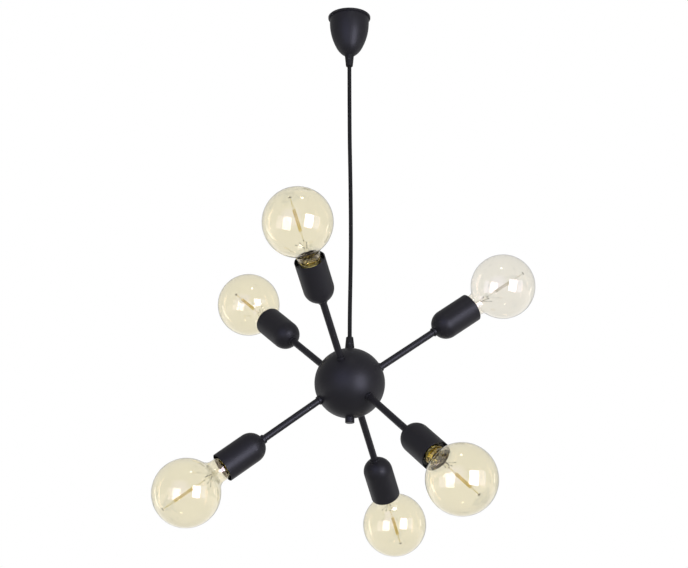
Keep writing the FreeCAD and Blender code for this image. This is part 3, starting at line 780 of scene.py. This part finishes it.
class ScrewCaps(bpy.types.Operator):
    """Threaded brass cap with its black glass and solder contact on each bulb"""
    bl_idname = "lamp.screw_caps"
    bl_label = "Make the screw caps"

    def execute(self, context):
        shape = bmesh.new()
        cone = CAP_FOOT + INSULATOR_TOP
        thread_low = CAP_FOOT + THREAD_FOOT
        bead_low = CAP_TOP - CAP_BEAD_HEIGHT
        inner_floor = CAP_FOOT + CAP_FLOOR
        outline = [(0.0, CAP_FOOT)]
        outline += arc((CONTACT_RADIUS - CONTACT_EDGE, CAP_FOOT + CONTACT_EDGE), CONTACT_EDGE,
                       -90.0, 0.0, 3)
        outline += [(CONTACT_RADIUS, CAP_FOOT + INSULATOR_FOOT), (INSULATOR_RADIUS, cone)]
        outline += arc((CAP_RADIUS - CAP_EDGE, thread_low), CAP_EDGE, -75.0, 0.0, 4)
        outline += [(CAP_RADIUS, thread_low + (bead_low - thread_low) * row / THREAD_ROWS)
                    for row in range(1, THREAD_ROWS)]
        outline += arc((CAP_BEAD - CAP_BEAD_ROLL, bead_low + CAP_BEAD_RISE), CAP_BEAD_ROLL,
                       -60.0, 60.0, 5)
        outline += [(CAP_BEAD - CAP_LIP, CAP_TOP), (CAP_INSIDE, CAP_TOP), (CAP_INSIDE, inner_floor),
                    (0.0, inner_floor)]
        spin_outline(shape, outline, 64)
        tidy_shell(shape)
        self.press_thread(shape, thread_low, bead_low)
        for face in shape.faces:
            height = face.calc_center_median().z
            if height < CAP_FOOT + INSULATOR_FOOT:
                face.material_index = SOLDER
            elif height < cone:
                face.material_index = BLACK_GLASS
        finishes = [drawn_brass(), insulator_finish(), solder_finish()]
        copies_on_arms("cap", shape, lambda number: finishes, "bulb_cap_%d")
        return {"FINISHED"}

    def press_thread(self, mesh, low, high):
        """Press a round thread into the shell between two heights, shallower towards both."""
        for vert in mesh.verts:
            height = vert.co.z
            radius = math.hypot(vert.co.x, vert.co.y)
            if radius < (CAP_INSIDE + CAP_RADIUS) / 2 or not low < height < high:
                continue
            ease = min(1.0, (height - low) / THREAD_EASE, (high - height) / THREAD_EASE)
            phase = math.tau * height / THREAD_PITCH - math.atan2(vert.co.y, vert.co.x)
            depth = THREAD_DEPTH * ease * (0.5 - 0.5 * math.cos(phase))
            vert.co.x *= 1.0 - depth / radius
            vert.co.y *= 1.0 - depth / radius


def on_axis(height):
    """A point on the Z axis."""
    return Vector((0.0, 0.0, height))


def outward(angle):
    """Unit vector square to the Z axis, at an angle in radians."""
    return Vector((math.cos(angle), math.sin(angle), 0.0))


def curl_route(start, end, radius, turns):
    """Points of a coil round the upright line from start to end."""
    count = turns * COIL_STEPS
    return [start.lerp(end, step / count) + outward(math.tau * step / COIL_STEPS) * radius
            for step in range(count + 1)]


def hook_route(angle, reach, rise):
    """Points of a support wire that leaves the stem and leans outwards."""
    side = outward(math.radians(angle))
    points = []
    for share in HOOK_SHARES:
        radius = HOOK_ROOT + (reach - HOOK_ROOT) * share ** HOOK_LEAN
        points.append(side * radius + on_axis(HOOK_FOOT + rise * share))
    return points


class StringFilaments(bpy.types.Operator):
    """Glass stem, rod, golden coiled strands and dark support wires in each bulb"""
    bl_idname = "lamp.string_filaments"
    bl_label = "String the filaments"

    def execute(self, context):
        settings = context.scene.lamp_filament
        shape = bmesh.new()
        self.draw_stem(shape)
        self.wind_strands(shape, settings)
        self.add_supports(shape)
        bmesh.ops.recalc_face_normals(shape, faces=shape.faces)
        clear = stem_glass_finish()
        golden = filament_finish("filament_gold", tuple(settings.gold))
        pale = filament_finish("filament_pale_gold", tuple(settings.pale_gold))
        oxide = wire_finish(settings)
        pale_bulb = context.scene.lamp_glass.pale_bulb
        copies_on_arms("filament", shape,
                       lambda number: [clear, pale if number == pale_bulb else golden, oxide],
                       "bulb_filament_%d")
        return {"FINISHED"}

    def draw_stem(self, mesh):
        """Hollow stem, pressed flat near its top, with a dark bead on its tip."""
        spin_outline(mesh, STEM_OUTSIDE + STEM_INSIDE, 32, closed=True)
        bmesh.ops.remove_doubles(mesh, verts=mesh.verts, dist=MERGE_DISTANCE)
        for vert in mesh.verts:
            share = max(0.0, min(1.0, (vert.co.z - PRESS_FOOT) / PRESS_EASE))
            vert.co.x *= 1.0 + PRESS_WIDER * share
            vert.co.y *= 1.0 - PRESS_THINNER * share
        bmesh.ops.create_uvsphere(mesh, u_segments=16, v_segments=10, radius=BEAD_RADIUS,
                                  matrix=Matrix.Translation(on_axis(STEM_TOP)))
        for face in mesh.faces:
            middle = face.calc_center_median()
            if middle.z > STEM_TOP - BEAD_RADIUS and middle.xy.length < BEAD_RADIUS:
                face.material_index = DARK_WIRE

    def wind_strands(self, mesh, settings):
        """Rod from the stem to the anchor, and the coiled strands tied to both of its ends."""
        foot = on_axis(STEM_TOP)
        head = on_axis(ANCHOR_PLACE)
        add_wire(mesh, [foot, foot.lerp(head, 0.5), head], ROD_RADIUS, 8, STEM_GLASS)
        for strand in range(settings.strands):
            side = outward(math.tau * strand / settings.strands) * settings.ring
            low = side + on_axis(settings.start)
            high = side + on_axis(settings.start + settings.length)
            coil = curl_route(low, high, settings.coil, settings.turns)
            add_wire(mesh, coil, settings.wire, 5, STRAND)
            add_wire(mesh, [foot, foot.lerp(low, 0.5), low], LOW_TIE_RADIUS, 5, STRAND)
            add_wire(mesh, [high, high.lerp(head, 0.5), head], HIGH_TIE_RADIUS, 5, STRAND)

    def add_supports(self, mesh):
        """Star of the anchor, and the support wires with their thick tips."""
        head = on_axis(ANCHOR_PLACE)
        for turn in ANCHOR_TURNS:
            arm = outward(math.radians(turn)) * ANCHOR_REACH
            add_wire(mesh, [head - arm, head, head + arm], ANCHOR_RADIUS, 6, DARK_WIRE)
        for angle, reach, rise in HOOKS:
            route = hook_route(angle, reach, rise)
            add_wire(mesh, route, HOOK_RADIUS, 5, DARK_WIRE)
            end = route[-1]
            tip = (end - route[-2]).normalized() * HOOK_TIP
            add_wire(mesh, [end - tip, end, end + tip], HOOK_TIP_RADIUS, 6, DARK_WIRE)


# Studio

def aimed(place, target):
    """Matrix of a lamp at a place that looks at a target."""
    look = (Vector(target) - Vector(place)).to_track_quat("-Z", "Y")
    return Matrix.Translation(place) @ look.to_matrix().to_4x4()


def edge_fade(shader):
    """From 1 in the middle of a rectangular lamp to 0 at its edges."""
    spot = shader.add("ShaderNodeNewGeometry", output="Parametric")
    across = shader.add("ShaderNodeSeparateXYZ", None, {"Vector": spot}, output="X")
    along = shader.add("ShaderNodeSeparateXYZ", None, {"Vector": spot}, output="Y")
    return across * (1.0 - across) * along * (1.0 - along) * 16.0


def soft_box(name, place, size, brightness, seen_in, colour=(1.0, 1.0, 1.0)):
    """Rectangular lamp turned to the hanging lamp. It shows in one thing only: dull surfaces, gloss, soft
    gloss, where it fades towards its edges, or inner faces, which are those of the globes."""
    lamp = bpy.data.lights.new(name, "AREA")
    lamp.shape = "RECTANGLE"
    lamp.size, lamp.size_y = size
    lamp.energy = brightness * math.pi * size[0] * size[1]
    lamp.color = colour
    holder = bpy.data.objects.new(name, lamp)
    bpy.context.scene.collection.objects.link(holder)
    holder.matrix_world = aimed(place, LIGHT_TARGET)
    holder.visible_camera = False
    holder.visible_diffuse = seen_in == "dull"
    holder.visible_glossy = seen_in in ("gloss", "soft gloss")
    holder.visible_transmission = seen_in == "inner faces"
    if seen_in in ("soft gloss", "inner faces"):
        shader = Shader(lamp)
        if seen_in == "soft gloss":
            share = edge_fade(shader)
        else:
            share = shader.ray("Glossy Depth").least(1.0)
        glow = shader.add("ShaderNodeEmission", None, {"Strength": share})
        shader.add("ShaderNodeOutputLight", None, {"Surface": glow})


def glint(name, place, size, brightness, colour=(1.0, 1.0, 1.0)):
    """A soft box seen in gloss and, by a twin just behind it, in the inner faces of the globes."""
    soft_box(name, place, size, brightness, "gloss", colour)
    behind = Vector(LIGHT_TARGET).lerp(Vector(place), TWIN_DISTANCE)
    soft_box(name + "_inside", tuple(behind), size, brightness, "inner faces", colour)


class SetStage(bpy.types.Operator):
    """Pale floor, white room, soft boxes and the camera"""
    bl_idname = "lamp.set_stage"
    bl_label = "Set the stage"

    def execute(self, context):
        settings = context.scene.lamp_studio
        self.light_room(context, settings)
        self.lay_floor(context, settings)
        self.hang_lights(settings)
        self.place_camera(context)
        return {"FINISHED"}

    def light_room(self, context, settings):
        world = bpy.data.worlds.new("white_room")
        context.scene.world = world
        shader = Shader(world)
        through = shader.ray("Is Transmission Ray")
        seen = shader.ray("Is Camera Ray").most(through) * (1.0 - settings.ambient)
        mirrored = shader.ray("Is Glossy Ray") * (1.0 - through) * (settings.gloss - settings.ambient)
        background = shader.add("ShaderNodeBackground", None, {
            "Color": rgba((1.0, 1.0, 1.0)), "Strength": settings.ambient + seen + mirrored})
        shader.add("ShaderNodeOutputWorld", None, {"Surface": background})

    def lay_floor(self, context, settings):
        mesh = bmesh.new()
        bmesh.ops.create_grid(mesh, x_segments=8, y_segments=8, size=FLOOR_HALF,
                              matrix=Matrix.Translation((0.0, 0.0, -settings.floor_drop)))
        data = bpy.data.meshes.new("floor")
        mesh.to_mesh(data)
        mesh.free()
        material, shader = new_material("pale_floor")
        away = shader.add("ShaderNodeVectorMath", {"operation": "LENGTH"}, {0: shader.place()},
                          output="Value")
        seen = shader.ray("Is Camera Ray").most(shader.ray("Is Transmission Ray"))
        whiter = shader.band(away, FLOOR_PLAIN, FLOOR_WHITE).most(seen * FLOOR_SEEN)
        pale = shader.add("ShaderNodeBsdfDiffuse", None, {"Color": rgba((0.86, 0.86, 0.85))})
        white = shader.add("ShaderNodeEmission", None, {"Color": rgba((1.0, 1.0, 1.0)), "Strength": 1.0})
        both = shader.add("ShaderNodeMixShader", None, {0: whiter, 1: pale, 2: white})
        shader.add("ShaderNodeOutputMaterial", None, {"Surface": both})
        data.materials.append(material)
        floor = bpy.data.objects.new("floor", data)
        context.scene.collection.objects.link(floor)

    def hang_lights(self, settings):
        cool = (0.78, 0.78, 1.0)
        blue = (0.50, 0.53, 1.0)
        sheen = 1.5 * settings.window
        side = 2.0 * settings.window
        soft_box("key_soft", (1.6, -2.0, -0.2), (1.5, 2.1), settings.key, "dull")
        soft_box("window_sheen", (-0.85, -2.35, -0.50), (3.2, 3.0), sheen, "soft gloss", blue)
        soft_box("side_window", (2.13, -1.28, -0.78), (1.2, 1.6), side, "inner faces", blue)
        glint("key_glint", (1.43, -2.04, -0.90), (1.25, 1.8), settings.glint, cool)
        glint("top_glint", (0.1, -0.6, 0.42), (0.1, 0.1), settings.glint)
        glint("left_glint", (-2.0, 0.9, -0.85), (0.2, 1.3), settings.window)
        glint("right_glint", (2.0, 0.8, -0.5), (0.2, 0.5), settings.window)

    def place_camera(self, context):
        lens = bpy.data.cameras.new("camera")
        lens.lens = CAMERA_LENS
        lens.sensor_width = CAMERA_SENSOR
        lens.clip_end = CAMERA_REACH
        camera = bpy.data.objects.new("camera", lens)
        context.scene.collection.objects.link(camera)
        camera.location = CAMERA_PLACE
        camera.rotation_euler = (math.radians(90.0 + CAMERA_TILT), 0.0, math.radians(CAMERA_TURN))
        context.scene.camera = camera
        context.scene.view_settings.view_transform = "Standard"


class LampPanel(bpy.types.Panel):
    """The lamp's pieces and their sizes and colours"""
    bl_idname = "VIEW3D_PT_globe_lamp"
    bl_label = "Globe lamp"
    bl_space_type = "VIEW_3D"
    bl_region_type = "UI"
    bl_category = "Lamp"

    def draw(self, context):
        for step in STEPS:
            self.layout.operator(step.bl_idname)
        for name, group in SETTINGS.items():
            box = self.layout.box()
            for key in group.__annotations__:
                box.prop(getattr(context.scene, name), key)


STEPS = (HangCord, DressCoat, DressFittings, BlowBulbs, ScrewCaps, StringFilaments, SetStage)


def register():
    for name, group in SETTINGS.items():
        bpy.utils.register_class(group)
        setattr(bpy.types.Scene, name, PointerProperty(type=group))
    for kind in STEPS + (LampPanel,):
        bpy.utils.register_class(kind)


def unregister():
    for kind in reversed(STEPS + (LampPanel,)):
        bpy.utils.unregister_class(kind)
    for name, group in SETTINGS.items():
        delattr(bpy.types.Scene, name)
        bpy.utils.unregister_class(group)


def main():
    register()
    bpy.ops.lamp.hang_cord()
    bpy.ops.lamp.dress_coat()
    bpy.ops.lamp.dress_fittings()
    bpy.ops.lamp.blow_bulbs()
    bpy.ops.lamp.screw_caps()
    bpy.ops.lamp.string_filaments()
    bpy.ops.lamp.set_stage()


if __name__ == "__main__":
    main()
